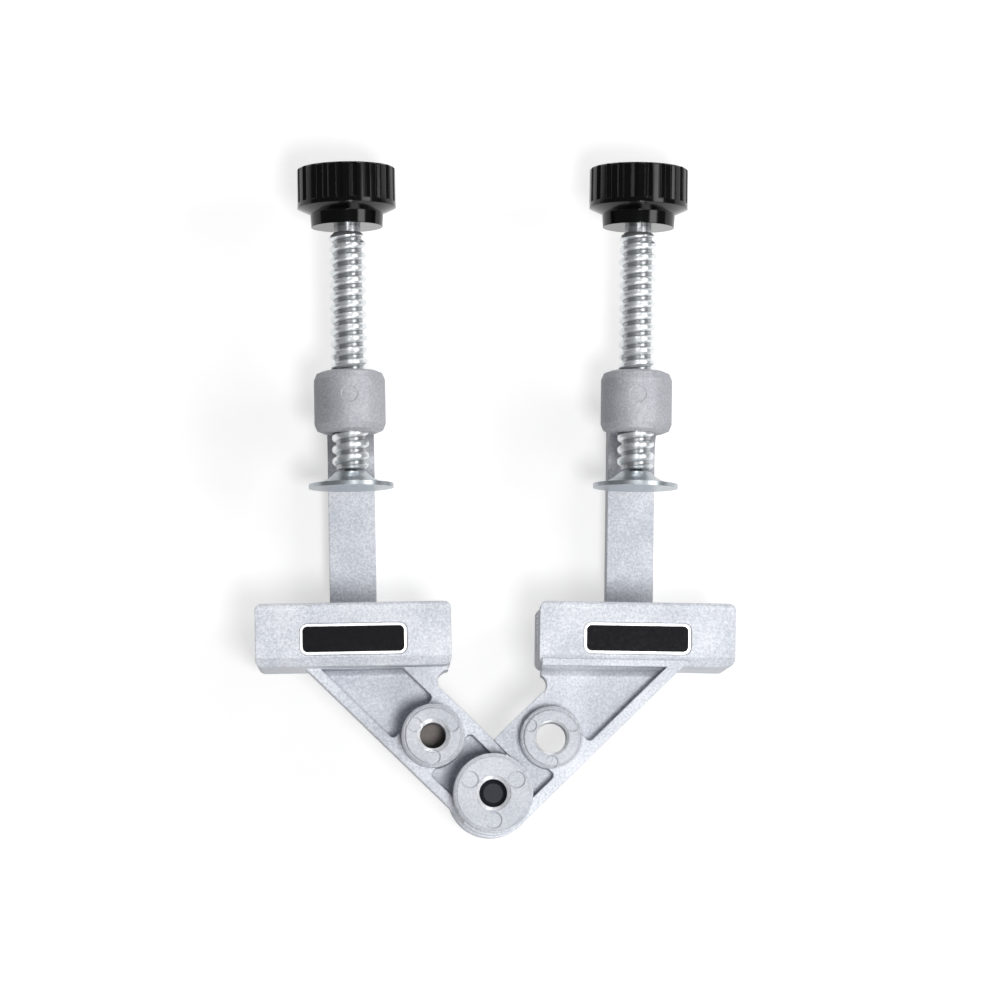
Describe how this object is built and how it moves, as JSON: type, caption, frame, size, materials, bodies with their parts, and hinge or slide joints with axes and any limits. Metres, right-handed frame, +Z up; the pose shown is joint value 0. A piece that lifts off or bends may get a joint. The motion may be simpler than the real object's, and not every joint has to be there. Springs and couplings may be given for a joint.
{
  "type": "corner clamp",
  "caption": "Hinged tube-welding corner clamp: cast V-jaw arms on a pivot pin, each closed by a screw spindle with a fluted knob and a swivel foot.",
  "frame": {"origin": "middle of the clamp's outline at the level of the floor it lies on, on the backs of its two spines", "axes": "+X from the left arm to the right arm, +Y from the hinge pin to the knobs, +Z up from the floor through the depth of the jaws"},
  "size_m": [0.1598, 0.227, 0.067],
  "materials": {
    "cast": "die-cast, bead blasted",
    "pin": "black oxide",
    "plate": "printed black with a bright border",
    "screw": "bright zinc plated",
    "foot": "bright zinc plated",
    "knob": "gloss black"
  },
  "bodies": {
    "left_side": {"left_arm": "cast", "left_plate": "plate"},
    "right_side": {"right_arm": "cast", "right_plate": "plate", "pivot_pin": "pin"},
    "left_swivel": {"left_foot": "foot"},
    "left_screw": {"left_spindle": "screw", "left_knob": "knob"},
    "right_swivel": {"right_foot": "foot"},
    "right_screw": {"right_spindle": "screw", "right_knob": "knob"}
  },
  "joints": [
    {"name": "hinge", "type": "hinge", "parent": "left_side", "child": "right_side", "pos_m": [-0.0009, -0.09909, 0.042], "axis": [0, 0, 1], "range_deg": [-198, 16]},
    {"name": "left_feed", "type": "slide", "parent": "left_side", "child": "left_swivel", "axis": [0.0166, -0.9999, 0], "range_m": [-0.011, 0.046]},
    {"name": "left_spin", "type": "hinge", "parent": "left_swivel", "child": "left_screw", "pos_m": [-0.04812, 0.01014, 0.042], "axis": [0.0166, -0.9999, 0], "range_deg": [-991, 4141]},
    {"name": "right_feed", "type": "slide", "parent": "right_side", "child": "right_swivel", "axis": [-0.0166, -0.9999, 0], "range_m": [-0.011, 0.046]},
    {"name": "right_spin", "type": "hinge", "parent": "right_swivel", "child": "right_screw", "pos_m": [0.04812, 0.01011, 0.042], "axis": [-0.0166, -0.9999, 0], "range_deg": [-991, 4141]}
  ],
  "couplings": [
    {"joint": "left_spin", "follows": "left_feed", "rad_per_m": 1570.8},
    {"joint": "right_spin", "follows": "right_feed", "rad_per_m": 1570.8}
  ]
}
